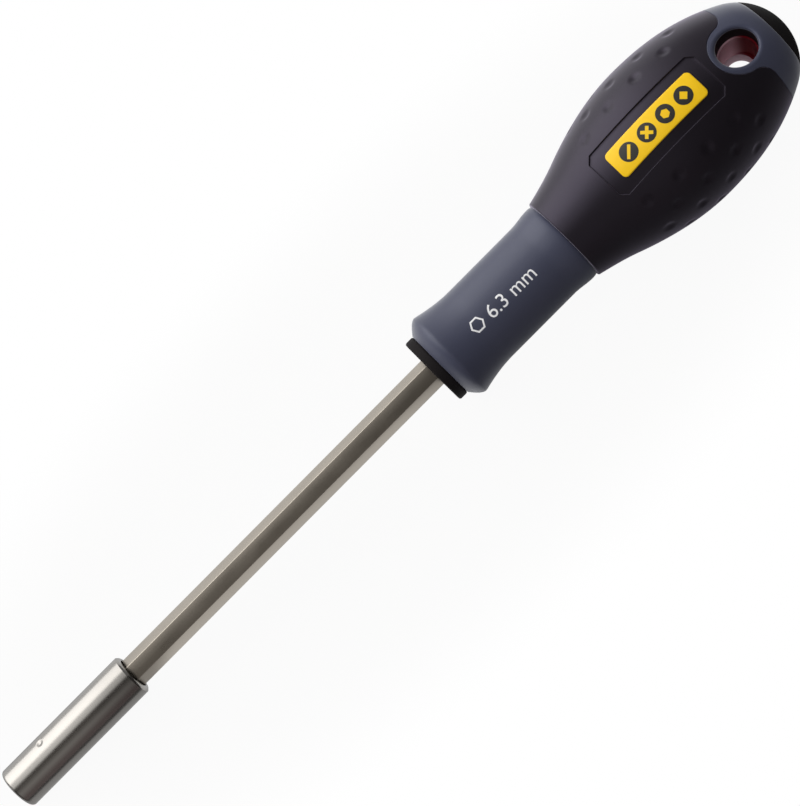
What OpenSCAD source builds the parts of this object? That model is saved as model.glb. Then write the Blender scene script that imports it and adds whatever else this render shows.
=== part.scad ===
// Bit holder screwdriver: a hexagonal bar with a round bit sleeve at its tip, in a two-material grip.
// X runs along the tool from the mouth of the bit socket to the butt, and +Z faces out of the badge.

/* [Bit sleeve] */
// Outside diameter of the sleeve
sleeve_d = 9.9; // [9.4:0.1:12]
// Length of the sleeve
sleeve_l = 35; // [30:0.5:45]
// Radius on the mouth's outer edge
mouth_round = 0.8; // [0.2:0.1:1]
// Chamfer on the sleeve's rear edge
sleeve_chamfer = 0.5; // [0.2:0.1:0.8]
// Hexagonal socket, across flats
socket_af = 6.4; // [6.35:0.01:6.5]
// Depth of the hexagonal socket, from the mouth to the magnet
socket_depth = 12.5; // [10:0.5:15]
// Countersink at the mouth, beyond the hexagon's corners
mouth_lead = 0.3; // [0.1:0.05:0.5]
// Gap between the bar's corners and the round recess at the sleeve's rear
rear_recess_gap = 0.24; // [0.1:0.02:0.4]
// Depth of that recess
rear_recess_l = 1.6; // [0.5:0.1:3]
// Distance of the stake mark from the mouth
stake_from_mouth = 11; // [8:0.5:14]
// Width of the stake mark
stake_d = 1.7; // [1:0.1:2.5]
// Depth of the stake mark
stake_depth = 0.35; // [0.2:0.05:0.5]
// Turn of the stake mark from the badge side, about the tool's axis
stake_turn = 35; // [0:1:90]

/* [Socket contents] */
// Diameter of the magnet
magnet_d = 5.8; // [4:0.1:6]
// Length of the magnet
magnet_l = 4; // [2:0.5:6]
// Wire of the retaining ring
ring_wire = 0.7; // [0.5:0.05:0.8]
// How far the ring stands into the hexagon's corners
ring_bite = 0.35; // [0.2:0.05:0.45]
// Open gap of the retaining ring, in degrees
ring_gap = 50; // [20:5:90]
// Distance of the ring from the mouth
ring_from_mouth = 4.2; // [3:0.1:7]
// Clearance round the ring in its groove
ring_play = 0.1; // [0.05:0.05:0.15]

/* [Bar] */
// Length of bar and sleeve that stands out of the handle
blade_l = 125; // [80:1:200]
// Bar across flats
bar_af = 6; // [5:0.1:6.2]
// Length of bar inside the handle
tang_l = 62; // [55:1:68]
// Turn of the bar's flats from the badge side
bar_turn = 10; // [0:1:30]
// Width of the swaged wings that stop the bar turning in the handle
wing_w = 10.4; // [8:0.2:11]
// Thickness of the wings
wing_t = 1.6; // [1:0.1:2.5]
// Length of the wings
wing_l = 9; // [5:0.5:12]
// Distance of the wings from the bar's end in the handle
wing_from_end = 7; // [2:0.5:10]
// Clearance where one piece seats in another
seat_gap = 0.02; // [0:0.01:0.05]

/* [Collar and neck] */
// Diameter of the front collar
collar_d = 16.5; // [15:0.1:18]
// Length of the front collar
collar_l = 2.3; // [1.5:0.1:4]
// Radius on the collar's edge
collar_round = 0.5; // [0.2:0.1:0.7]
// Length of the soft neck sleeve
neck_l = 37; // [34:0.5:40]
// Diameter of the neck where it meets the collar
neck_front_d = 16.6; // [15:0.1:18]
// Angle at which the flared lip opens out from the neck's front
neck_front_angle = 52; // [40:1:56]
// Largest diameter of the flared front lip
neck_lip_d = 21.6; // [20:0.1:23]
// Distance of that lip from the neck's front
neck_lip_from_front = 3.1; // [2:0.1:5]
// Angle at which the neck falls away behind the lip
neck_tail_angle = 14; // [0:1:16]
// Diameter of the neck's waist
neck_waist_d = 19.1; // [17:0.1:20]
// Distance from the neck's front to where the waist begins
neck_waist_from_front = 12.2; // [9:0.1:15]
// Diameter of the bead at the neck's rear
neck_bead_d = 20; // [19:0.1:20.4]
// Length of the rise to that bead
neck_bead_rise = 5; // [2:0.1:6]
// Straight stretch behind the bead
neck_bead_l = 1.4; // [0.5:0.1:3]
// Thickness of the neck sleeve at its waist
neck_wall = 2.6; // [1.5:0.1:3.5]

/* [Handle] */
// Length of the handle, from the collar's front to the butt
handle_l = 104; // [100:0.5:110]
// Diameter of the grip where it meets the neck
grip_front_d = 20.8; // [20:0.1:23]
// Angle at which the grip opens out from the neck
grip_front_angle = 14; // [8:0.1:25]
// Distance from the grip's front to where it opens fastest
grip_swell_from_front = 9.2; // [8:0.1:12]
// Diameter of the grip there
grip_swell_d = 26.1; // [25:0.1:28]
// Angle of the grip there
grip_swell_angle = 20.4; // [15:0.1:25]
// Largest diameter of the grip
grip_d = 35.4; // [32:0.1:40]
// Distance from the grip's front to its largest diameter
grip_crest_from_front = 31.7; // [28:0.1:34]
// Radius of the domed butt
dome_r = 13.4; // [12.5:0.1:14.5]
// Angle of the dome, from the tool's axis to where it runs into the grip
dome_angle = 61.6; // [55:0.1:68]
// Thickness of the soft covering round the core
soft_wall = 2.6; // [1.8:0.1:3]
// Chamfer at the grip's front edge
grip_edge = 0.4; // [0.2:0.1:0.8]

/* [Badge panel] */
// Distance from the grip's front to the panel
panel_from_front = 13.7; // [11:0.1:15]
// Distance from the panel to the saddle's ring
panel_to_ring = 1.75; // [0.6:0.05:4]
// Width of the recessed panel
panel_w = 11.6; // [9:0.1:13]
// Cut corners of the panel
panel_corner = 1.4; // [0.5:0.1:3]
// Depth of the panel
panel_depth = 0.45; // [0.2:0.05:0.8]
// Margin between the badge's ends and the panel's
badge_end_margin = 3.1; // [1.5:0.1:6]
// Margin between the badge's sides and the panel's
badge_side_margin = 2.45; // [1.2:0.05:3]
// Corner radius of the badge
badge_corner = 1.1; // [0.5:0.1:1.8]
// Thickness of the badge
badge_t = 0.35; // [0.2:0.05:0.8]

/* [Dimples] */
// Diameter of a grip dimple
dimple_d = 2.8; // [2:0.1:3.4]
// Depth of a grip dimple
dimple_depth = 0.35; // [0.15:0.05:0.5]
// Distance from the grip's front to the first dimple
dimple_from_front = 17; // [14:0.1:20]
// Spacing of the dimples along the grip
dimple_pitch = 8.05; // [7:0.05:8.5]
// Dimples in a row
dimple_count = 4; // [2:1:4]
// Rows of dimples on each flank
dimple_rows = 7; // [1:1:7]
// Turn of the first row from the badge side
dimple_first_turn = 37; // [34:0.5:45]

/* [Hanging end] */
// Diameter of the hanging hole
hole_d = 8.3; // [7:0.1:9.2]
// Distance from the butt to the hole's centre
hole_from_butt = 12.6; // [12:0.1:13]
// Ledge of core that shows round the hole
hole_ledge = 0.3; // [0.1:0.05:0.7]
// Radius on the lip of the hole
lip_round = 1; // [0.6:0.1:1.8]
// Width of the saddle's ring round the hole
saddle_ring = 1.6; // [1.3:0.05:2.2]
// Flat land between the hole's lip and the ring's edge
lip_land = 0.2; // [0.1:0.05:0.5]
// Distance from the butt to the saddle's straight front edge
saddle_from_butt = 10.3; // [9.5:0.1:11]
// Radius of the grip's rounded lobes beside the saddle's ring
lobe_round = 3; // [2:0.1:4]
// Height of the butt cap
cap_h = 4; // [3:0.1:4.5]
// Diameter of the cap's spigot in the core
cap_spigot_d = 8; // [5:0.1:10]
// Length of that spigot
cap_spigot_l = 2; // [1:0.1:2.4]

/* [Hidden] */
$fn = 64;

// Steps along a curved stretch of an outline, and degrees between points on an arc
curve_steps = 12;
arc_step = 9;
// Reach of a cutting solid past what it cuts, and a distance too small to show
past = 1;
tiny = 0.01;

// Places along the tool
neck_x = blade_l + collar_l;
grip_x = neck_x + neck_l;
swell_x = grip_x + grip_swell_from_front;
crest_x = grip_x + grip_crest_from_front;
butt_x = blade_l + handle_l;
dome_x = butt_x - dome_r;
cap_x = butt_x - cap_h;
hole_x = butt_x - hole_from_butt;
saddle_x = butt_x - saddle_from_butt;
bar_x = socket_depth + magnet_l;
tang_x = blade_l + tang_l;
wing_x = tang_x - wing_from_end - wing_l;

// Where the grip's curve runs into the dome, at the dome's own slope
join_x = dome_x + dome_r * cos(dome_angle);
join_r = dome_r * sin(dome_angle);
join_slope = -1 / tan(dome_angle);

// Radii
socket_r = socket_af / 2 / cos(30);
bar_r = bar_af / 2 / cos(30);
spring_r = socket_r - ring_bite + ring_wire / 2;
groove_r = spring_r + ring_wire / 2 + ring_play;
rear_recess_r = bar_r + rear_recess_gap;
core_neck_r = neck_waist_d / 2 - neck_wall;
lip_r = hole_d / 2 + hole_ledge;
ring_r = lip_r + saddle_ring;
lip_curve = min(lip_round, saddle_ring - lip_land);
dimple_ball_r = (pow(dimple_d / 2, 2) + pow(dimple_depth, 2)) / (2 * dimple_depth);
stake_ball_r = (pow(stake_d / 2, 2) + pow(stake_depth, 2)) / (2 * stake_depth);
// The panel runs from its place behind the grip's front to just short of the saddle's ring
panel_l = hole_x - ring_r - panel_to_ring - grip_x - panel_from_front;
panel_x = grip_x + panel_from_front + panel_l / 2;
badge_l = panel_l - 2 * badge_end_margin;
badge_w = panel_w - 2 * badge_side_margin;
// Last row of dimples is as far from the back as the first is from the badge side
dimple_row_turn = (180 - 2 * dimple_first_turn) / max(1, dimple_rows - 1);
// The outlines' seam lies between the panels and the dimples
seam_turn = (dimple_first_turn + asin(panel_w / grip_d)) / 2;
all_r = grip_d;

// Radius on a cubic from r0 to r1 over a span, with slopes m0 and m1 at its ends
function cubic_r(t, span, r0, m0, r1, m1) =
    (2 * t * t * t - 3 * t * t + 1) * r0 + (t * t * t - 2 * t * t + t) * span * m0
    + (3 * t * t - 2 * t * t * t) * r1 + (t * t * t - t * t) * span * m1;

// Points of that cubic as [x, radius], from x0 to x1
function cubic_pts(x0, r0, m0, x1, r1, m1) = [
    for (i = [0 : curve_steps])
        let (t = i / curve_steps)
        [x0 + t * (x1 - x0), cubic_r(t, x1 - x0, r0, m0, r1, m1)]
];

// Points on an arc from angle a0 to a1
function arc_pts(cx, cy, r, a0, a1) =
    let (n = max(2, ceil(abs(a1 - a0) / arc_step)))
    [for (i = [0 : n]) let (a = a0 + (a1 - a0) * i / n) [cx + r * cos(a), cy + r * sin(a)]];

// Radius of the finished handle at x, from the grip's front to the butt
function handle_r(x) =
    x < swell_x
        ? cubic_r((x - grip_x) / (swell_x - grip_x), swell_x - grip_x,
            grip_front_d / 2, tan(grip_front_angle), grip_swell_d / 2, tan(grip_swell_angle))
    : x < crest_x
        ? cubic_r((x - swell_x) / (crest_x - swell_x), crest_x - swell_x,
            grip_swell_d / 2, tan(grip_swell_angle), grip_d / 2, 0)
    : x < join_x
        ? cubic_r((x - crest_x) / (join_x - crest_x), join_x - crest_x,
            grip_d / 2, 0, join_r, join_slope)
    : sqrt(max(0, pow(dome_r, 2) - pow(x - dome_x, 2)));

// Slope of that outline at x
function handle_slope(x) = (handle_r(x + tiny) - handle_r(x - tiny)) / (2 * tiny);

// The handle's outline between two places, lowered by inset
function handle_pts(x0, x1, inset = 0) =
    let (stops = concat([x0], [for (x = [swell_x, crest_x, join_x]) if (x > x0 && x < x1) x], [x1]))
    [for (k = [0 : len(stops) - 2])
        for (i = [(k == 0 ? 0 : 1) : curve_steps])
            let (x = stops[k] + (stops[k + 1] - stops[k]) * i / curve_steps)
            [x, handle_r(x) - inset]];

function reversed(list) = [for (i = [len(list) - 1 : -1 : 0]) list[i]];

// A solid turned about the tool's axis from points given as [x, radius]
module turned(points) {
    rotate([seam_turn, 0, 0])
        rotate([0, 90, 0])
            rotate_extrude()
                polygon([for (p = points) [p[1], p[0]]]);
}

// A hexagonal prism along the tool from x0 to x1, with its flats turned from the badge side
module hex_bar(radius, x0, x1) {
    translate([x0, 0, 0])
        rotate([bar_turn + 30, 0, 0])
            rotate([0, 90, 0])
                cylinder(r = radius, h = x1 - x0, $fn = 6);
}

// A round bar along the tool from x0 to x1
module round_bar(radius, x0, x1) {
    translate([x0, 0, 0])
        rotate([0, 90, 0])
            cylinder(r = radius, h = x1 - x0);
}

// The bar with its wings, grown by a clearance, so that it cuts its own pocket
module bar_form(gap, x0) {
    hex_bar(bar_r + gap, x0, tang_x + gap);
    translate([wing_x - gap, 0, 0])
        rotate([bar_turn, 0, 0])
            translate([0, -wing_w / 2 - gap, -wing_t / 2 - gap])
                cube([wing_l + 2 * gap, wing_w + 2 * gap, wing_t + 2 * gap]);
}

// Plan of the saddle: all behind its straight edge, with a ring round the hole that runs into it
module saddle_plan() {
    lobe_x = saddle_x - lobe_round;
    lobe_y = sqrt(pow(ring_r + lobe_round, 2) - pow(lobe_x - hole_x, 2));
    meet = atan2(lobe_y, lobe_x - hole_x);
    half = concat(
        [[butt_x + past, all_r], [saddle_x, all_r]],
        arc_pts(lobe_x, lobe_y, lobe_round, 0, meet - 180),
        arc_pts(hole_x, 0, ring_r, meet, 180));
    polygon(concat(half, [for (p = reversed(half)) if (p[1] > tiny) [p[0], -p[1]]]));
}

module saddle_prism() {
    translate([0, 0, -all_r])
        linear_extrude(2 * all_r)
            saddle_plan();
}

// The hole through the hanging end
module hang_hole(radius) {
    translate([hole_x, 0, -all_r])
        cylinder(r = radius, h = 2 * all_r);
}

// Rounded lip of the hole on the badge side, square to the handle's own slope there
module hole_lip() {
    mouth_z = (handle_r(hole_x) + sqrt(pow(handle_r(hole_x), 2) - pow(lip_r, 2))) / 2;
    lip = concat([[0, -lip_curve], [lip_r, -lip_curve]],
        arc_pts(lip_r + lip_curve, -lip_curve, lip_curve, 180, 90),
        [[lip_r + lip_curve, all_r], [0, all_r]]);
    translate([hole_x, 0, mouth_z])
        rotate([0, -atan(handle_slope(hole_x)), 0])
            rotate_extrude()
                polygon(lip);
}

// A rectangle with cut corners, centred
module cut_corner_plan(l, w, c) {
    polygon([[-l / 2 + c, -w / 2], [l / 2 - c, -w / 2], [l / 2, -w / 2 + c], [l / 2, w / 2 - c],
        [l / 2 - c, w / 2], [-l / 2 + c, w / 2], [-l / 2, w / 2 - c], [-l / 2, -w / 2 + c]]);
}

// A rectangle with round corners, centred
module round_corner_plan(l, w, r) {
    polygon([for (k = [0 : 3])
        let (sx = k == 0 || k == 3 ? 1 : -1, sy = k < 2 ? 1 : -1)
        each arc_pts(sx * (l / 2 - r), sy * (w / 2 - r), r, 90 * k, 90 * k + 90)]);
}

// What is taken out of the grip for the panel on the badge side, down to an even depth
module panel_cut() {
    reach = panel_l / 2 + past;
    difference() {
        translate([panel_x, 0, grip_front_d / 2 - soft_wall])
            linear_extrude(all_r)
                cut_corner_plan(panel_l, panel_w, panel_corner);
        turned(concat([[panel_x - reach, 0]],
            handle_pts(panel_x - reach, panel_x + reach, panel_depth), [[panel_x + reach, 0]]));
    }
}

// Shallow round dimples in staggered rows on both flanks
module dimples() {
    for (side = [-1, 1], row = [0 : dimple_rows - 1], i = [0 : dimple_count - 1]) {
        x = grip_x + dimple_from_front + (i + (row % 2) / 2) * dimple_pitch;
        rotate([side * (dimple_first_turn + row * dimple_row_turn), 0, 0])
            translate([x, 0, handle_r(x) - dimple_depth + dimple_ball_r])
                sphere(r = dimple_ball_r);
    }
}

// The hexagonal bar, with its wings in the handle
module hex_shaft() {
    color([0.66, 0.63, 0.58])
        bar_form(0, bar_x);
}

// Round steel sleeve: hexagonal socket in front, magnet pocket, and the bar's seat behind
module socket_sleeve() {
    wall = [
        for (p = arc_pts(mouth_round, sleeve_d / 2 - mouth_round, mouth_round, 180, 90)) p,
        [sleeve_l - sleeve_chamfer, sleeve_d / 2],
        [sleeve_l, sleeve_d / 2 - sleeve_chamfer]
    ];
    color([0.74, 0.72, 0.69])
        difference() {
            turned(concat([[0, 0]], wall, [[sleeve_l, 0]]));
            hex_bar(socket_r, -past, socket_depth);
            translate([-mouth_lead, 0, 0])
                rotate([0, 90, 0])
                    cylinder(r1 = socket_r + 2 * mouth_lead, r2 = socket_r - mouth_lead, h = 3 * mouth_lead);
            round_bar(groove_r, ring_from_mouth - ring_wire / 2 - ring_play,
                ring_from_mouth + ring_wire / 2 + ring_play);
            round_bar(magnet_d / 2 + seat_gap, socket_depth - past, bar_x + seat_gap);
            hex_bar(bar_r + seat_gap, bar_x, sleeve_l + past);
            round_bar(rear_recess_r, sleeve_l - rear_recess_l, sleeve_l + past);
            rotate([-stake_turn, 0, 0])
                translate([stake_from_mouth, 0, sleeve_d / 2 - stake_depth + stake_ball_r])
                    sphere(r = stake_ball_r);
        }
}

// Magnet at the bottom of the socket, against the bar's end
module socket_magnet() {
    color([0.45, 0.45, 0.47])
        round_bar(magnet_d / 2, socket_depth, bar_x);
}

// Spring ring, open on one side, that snaps into a bit's notches
module bit_retaining_ring() {
    color([0.35, 0.35, 0.37])
        translate([ring_from_mouth, 0, 0])
            rotate([0, 90, 0])
                rotate_extrude(angle = 360 - ring_gap)
                    translate([spring_r, 0])
                        circle(d = ring_wire);
}

// Hard collar at the handle's front
module nose_collar() {
    edge = concat(
        arc_pts(blade_l + collar_round, collar_d / 2 - collar_round, collar_round, 180, 90),
        arc_pts(neck_x - collar_round, collar_d / 2 - collar_round, collar_round, 90, 0));
    color([0.11, 0.09, 0.1])
        difference() {
            turned(concat([[blade_l, 0]], edge, [[neck_x, 0]]));
            hex_bar(bar_r + seat_gap, blade_l - past, neck_x + past);
        }
}

// Soft neck sleeve: flared lip, waist and a bead against the grip
module neck_sleeve() {
    lip_x = neck_x + neck_lip_from_front;
    bead_x = grip_x - neck_bead_l;
    front_slope = tan(neck_front_angle);
    tail_slope = -tan(neck_tail_angle);
    color([0.32, 0.34, 0.42])
        turned(concat(
            [[neck_x, core_neck_r]],
            cubic_pts(neck_x, neck_front_d / 2, front_slope, lip_x, neck_lip_d / 2, 0),
            cubic_pts(lip_x, neck_lip_d / 2, tail_slope, neck_x + neck_waist_from_front, neck_waist_d / 2, 0),
            cubic_pts(bead_x - neck_bead_rise, neck_waist_d / 2, 0, bead_x, neck_bead_d / 2, 0),
            [[grip_x, neck_bead_d / 2 - grip_edge], [grip_x, core_neck_r]]));
}

// Hard core that the bar is moulded into, drilled through by the hanging hole
module handle_core() {
    color([0.36, 0.08, 0.1])
        difference() {
            turned(concat(
                [[neck_x, 0], [neck_x, core_neck_r], [grip_x, core_neck_r]],
                handle_pts(grip_x, cap_x, soft_wall),
                [[cap_x, 0]]));
            bar_form(seat_gap, neck_x - past);
            hang_hole(hole_d / 2);
            round_bar(cap_spigot_d / 2 + seat_gap, cap_x - cap_spigot_l - seat_gap, cap_x + past);
        }
}

// Soft barrel grip, with a recessed panel on both faces and dimpled flanks
module grip_shell() {
    inner = handle_pts(grip_x, saddle_x, soft_wall);
    front_r = grip_front_d / 2;
    outer = [for (p = handle_pts(grip_x, saddle_x)) if (p[0] > grip_x + grip_edge) p];
    color([0.14, 0.13, 0.16])
        difference() {
            turned(concat([[grip_x, front_r - grip_edge], [grip_x + grip_edge, front_r]],
                outer, reversed(inner)));
            saddle_prism();
            for (face = [0, 180])
                rotate([face, 0, 0])
                    panel_cut();
            dimples();
        }
}

// Soft saddle round the hanging hole, between the grip and the butt cap
module hang_saddle() {
    front_x = hole_x - ring_r - past;
    color([0.32, 0.34, 0.42])
        difference() {
            intersection() {
                turned(concat(handle_pts(front_x, cap_x),
                    reversed(handle_pts(front_x, cap_x, soft_wall))));
                saddle_prism();
            }
            hang_hole(lip_r);
            for (face = [0, 180])
                rotate([face, 0, 0])
                    hole_lip();
        }
}

// Domed butt cap with a spigot in the core
module butt_cap() {
    rim = acos((cap_x - dome_x) / dome_r);
    color([0.12, 0.12, 0.13])
        turned(concat(
            [[cap_x - cap_spigot_l, 0], [cap_x - cap_spigot_l, cap_spigot_d / 2], [cap_x, cap_spigot_d / 2]],
            arc_pts(dome_x, 0, dome_r, rim, 0)));
}

// Plain badge inlaid in the panel, following its curve
module badge() {
    reach = badge_l / 2 + past;
    color([0.96, 0.78, 0.14])
        intersection() {
            turned(concat(handle_pts(panel_x - reach, panel_x + reach, panel_depth - badge_t),
                reversed(handle_pts(panel_x - reach, panel_x + reach, panel_depth))));
            translate([panel_x, 0, 0])
                linear_extrude(all_r)
                    round_corner_plan(badge_l, badge_w, badge_corner);
        }
}

hex_shaft();
socket_sleeve();
socket_magnet();
bit_retaining_ring();
nose_collar();
neck_sleeve();
handle_core();
grip_shell();
hang_saddle();
butt_cap();
badge();
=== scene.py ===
import math

import bpy
from mathutils import Matrix, Vector


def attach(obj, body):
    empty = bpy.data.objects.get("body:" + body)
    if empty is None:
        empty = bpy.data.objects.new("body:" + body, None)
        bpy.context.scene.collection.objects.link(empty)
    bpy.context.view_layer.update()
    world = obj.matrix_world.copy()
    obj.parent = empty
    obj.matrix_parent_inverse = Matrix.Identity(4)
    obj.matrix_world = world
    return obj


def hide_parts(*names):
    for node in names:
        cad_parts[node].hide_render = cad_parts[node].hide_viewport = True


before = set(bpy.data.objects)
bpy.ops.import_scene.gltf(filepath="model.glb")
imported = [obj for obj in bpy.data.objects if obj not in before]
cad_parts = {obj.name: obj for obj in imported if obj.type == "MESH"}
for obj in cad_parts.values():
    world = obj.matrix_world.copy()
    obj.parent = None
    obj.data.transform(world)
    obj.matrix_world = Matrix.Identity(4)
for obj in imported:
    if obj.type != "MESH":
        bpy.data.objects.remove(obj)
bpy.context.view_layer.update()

MM = 0.001
# Clearance where one piece seats in another, and a reach past what is being cut
SEAT_GAP = 0.02
PAST = 1.0
# Vertices nearer than this are merged, and a vertex this near a piece's outside counts as on it
WELD = 0.002
SKIN = 0.1

# Sides of turned pieces
FINE_SIDES = 324
SLEEVE_SIDES = 288
NECK_SIDES = 160
HOLE_SIDES = 144
PLAIN_SIDES = 128
TOOL_SIDES = 96
MAGNET_SIDES = 72

# Bit sleeve
SLEEVE_R = 4.95
SLEEVE_L = 35.0
MOUTH_ROUND = 0.8
SOCKET_R = 3.695
SOCKET_DEPTH = 12.5
MOUTH_LEAD = 0.3
LEAD_X = 0.16 * SOCKET_R
LEAD_END_R = 0.92 * SOCKET_R
STAKE_X = 11.0
STAKE_TURN = 35.0
STAKE_R = 1.0
STAKE_DEPTH = 0.3
# Finely divided stretch of the wall on each side of the stake mark, and its division
STAKE_FIELD = 1.2
STAKE_PITCH = 0.1
# Rounded rear edge, as distances forward from the rear face and in from the wall
REAR_EDGE = [(0.58, 0), (0.48, 0.025), (0.08, 0.41), (0, 0.55)]
REAR_RECESS_R = 3.704
REAR_RECESS_L = 1.6

# Magnet and spring ring in the socket
MAGNET_R = 2.9
MAGNET_L = 4.0
MAGNET_ROUND = 0.25
RING_X = 4.2
RING_R = 3.695
RING_WIRE_R = 0.35
RING_GAP = 50.0
RING_PLAY = 0.1

# Hexagonal bar and its wings in the handle
BAR_R = 3.464
BAR_X = SOCKET_DEPTH + MAGNET_L
BAR_END = 187.0
BAR_TURN = 10.0
BAR_EDGE = 0.08
WING_X = 171.0
WING_L = 9.0
WING_W = 10.4
WING_T = 1.6
WING_EDGE = 0.2

# Collar and neck
COLLAR_X = 125.0
COLLAR_R = 8.25
COLLAR_ROUND = 0.5
NECK_X = 127.3
NECK_FRONT_R = 8.3
NECK_FRONT_SLOPE = math.tan(math.radians(52))
# Broken front edge, as distances back and down
NECK_FRONT_EDGE = (0.04, 0.06)
NECK_LIP_R = 10.8
NECK_LIP_X = NECK_X + 3.1
NECK_TAIL_SLOPE = -math.tan(math.radians(14))
NECK_WAIST_R = 9.55
NECK_WAIST_X = NECK_X + 12.2
NECK_BEAD_R = 10.0
NECK_BEAD_L = 1.4
NECK_BEAD_RISE = 5.0
# Rounded rear of the bead, as distances forward from the grip and down from the bead
NECK_BEAD_END = [(0.85, 0.015), (0.45, 0.09), (0.18, 0.21), (0.04, 0.35), (0, 0.53)]
CORE_NECK_R = 6.9

# Handle outline
GRIP_X = 164.3
GRIP_FRONT_R = 10.4
GRIP_FRONT_SLOPE = math.tan(math.radians(14))
GRIP_EDGE = 0.4
# Where the front edge's curve is centred below the grip's radius, its last angle and its length
GRIP_EDGE_DROP = 0.28
GRIP_EDGE_LEAVE = 107
GRIP_EDGE_L = 0.55
SWELL_X = GRIP_X + 9.2
SWELL_R = 13.05
SWELL_SLOPE = math.tan(math.radians(20.4))
CREST_X = 196.0
CREST_R = 17.7
DOME_R = 13.4
DOME_ANGLE = math.radians(61.6)
BUTT_X = 229.0
DOME_X = BUTT_X - DOME_R
JOIN_X = DOME_X + DOME_R * math.cos(DOME_ANGLE)
JOIN_R = DOME_R * math.sin(DOME_ANGLE)
JOIN_SLOPE = -1 / math.tan(DOME_ANGLE)
SOFT_WALL = 2.6

# Panel and badge
PANEL_X = 193.3
PANEL_L = 30.6
PANEL_W = 11.6
PANEL_CORNER = 1.4
PANEL_DEPTH = 0.45
# Rolled edge of the panel: how far its tool starts outside and above, then its steps inward and down
PANEL_FLARE = 0.4
PANEL_LIFT = 0.3
PANEL_STEPS = [(0.22, 0.26), (0.1, 0.1), (0.08, 0.16), (0.05, 0.13), (0.06, 0.08), (0.08, 0.02)]
PANEL_TOOL_H = 6
BADGE_L = 24.4
BADGE_W = 6.7
BADGE_CORNER = 1.1
BADGE_T = 0.35
# Rounded upper edge of the badge, as steps inward and up
BADGE_EDGE = [(0.03, 0.06), (0.07, 0.04)]

# Printed signs: screw heads on the badge, a hexagon and a number on the neck
HEAD_R = 2.05
HEAD_PITCH = 5.3
HEAD_T = 0.04
HEAD_LIFT = 0.005
HEX_DRIVE_R = 1.05
DRIVE_BARS = {"slot": [(3.0, 0.7)], "cross": [(2.7, 0.75), (0.75, 2.7)], "square": [(1.6, 1.6)]}
DRIVE_H = 2
MARK_TURN = 10.0
MARK_T = 0.03
MARK_LIFT = 0.012
MARK_HEX_R = 1.75
MARK_HEX_HOLE_R = 1.33
MARK_HEX_AT = (138.6, 0.05)
MARK_TEXT_AT = (141.6, -1.5)
MARK_TEXT_SIZE = 4.4

# Dimples on the flanks
DIMPLE_R = 1.4
DIMPLE_DEPTH = 0.3
DIMPLE_X = GRIP_X + 17.0
DIMPLE_PITCH = 8.05
DIMPLE_COUNT = 4
DIMPLE_ROWS = 7
DIMPLE_TURN = 37.0
# How far a dimple's soft edge reaches from its middle
DIMPLE_REACH = 1.25 * DIMPLE_R

# Hanging end
HOLE_X = 216.4
HOLE_R = 3.78
HOLE_OVAL = 1.15
BORE_R = 3.85
LIP_R = 4.12
LIP_ROUND = 1.0
# Angle at which the lip's curve ends, and how far past it its tool goes on
LIP_LEAVE = 100
LIP_SPARE = 0.9
RIM_WALL = 0.4
RIM_DEPTH = 6
LEDGE_Z = 6.0
LEDGE_ROUND = 0.25
LOW_LEDGE_Z = -6.5
BORE_END = 20
SADDLE_RING_R = 6.05
SADDLE_X = 218.7
GRIP_TAIL_X = SADDLE_X + 0.4
LOBE_R = 3.0
CAP_X = 225.0
CAP_SPIGOT_R = 4.0
CAP_SPIGOT_L = 2.0
# Broken edges at the seam of saddle and cap: their length, then points as distances along and down
SADDLE_EDGE_L = 0.16
SADDLE_EDGE = [(-0.05, 0.02), (0, 0.12)]
CAP_EDGE_L = 0.14
CAP_EDGE = [(0, 0.2), (0.04, 0.1)]
SEAM_R = 0.13

# Camera of the photograph, as fitted to the tool's outline
EYE = Vector((129.06, -111.30, 537.95)) * MM
EYE_RIGHT = Vector((0.70479, -0.69090, -0.16104))
EYE_SIGHT = Vector((-0.02462, 0.20305, -0.97886))
FOCAL_PX = 2600
FRAME_W = 800
SENSOR_W = 36.0

# Tones of the room round the tool, by degrees from its right over the camera to its left
SKY = [
    (-90, (0.16, 0.13, 0.128, 1)),
    (-60, (0.12, 0.098, 0.097, 1)),
    (-30, (0.26, 0.25, 0.241, 1)),
    (0, (0.055, 0.05, 0.044, 1)),
    (9, (0.055, 0.05, 0.044, 1)),
    (17, (0.85, 0.84, 0.825, 1)),
    (60, (1.0, 0.985, 0.965, 1)),
    (90, (0.7, 0.7, 0.7, 1)),
]
# Directions to the room's left and over the camera, tipped as the camera is
ROOM_LEFT = (0, 0.985, 0.174)
ROOM_OVER = (0, -0.174, 0.985)
# Strength of the room along the tool: bright towards the tip, dim straight ahead of it and at the butt
ROOM_TIP = (-0.2, 0.3, 1.75, 0.3)
ROOM_AHEAD = (-0.85, -0.3, 0.3, 1.0)

# Floor, in metres from the mouth along the tool and from its axis across it
FLOOR_SIZE = 40
FLOOR_TONE = (0.55, 0.55, 0.55, 1)
# Share of white that the camera sees near the tool, where the rest shows the shadow, and its fade to white
NEAR_WHITE = 0.94
SHADOW_MIDDLE = 0.115
SHADOW_REACH = (0.15, 0.045)
SHADOW_FADE = (0.4, 1.6)
# Where gloss sees the floor white: on the tool's left, and on the right of its bar and sleeve
POOL_LEFT = (0.008, 0.018)
POOL_RIGHT = (-0.042, -0.026)
POOL_RIGHT_END = (0.15, 0.11)
POOL_RIGHT_DIM = (0.034, 0.042, 0.5, 1.0)
POOL_END = (0.34, 0.27)
POOL_DEPTH = 0.92
# Lit patch under the hanging hole, bright to the first radius and dark from the second
PATCH_INNER = 0.008
PATCH_OUTER = 0.012


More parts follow.
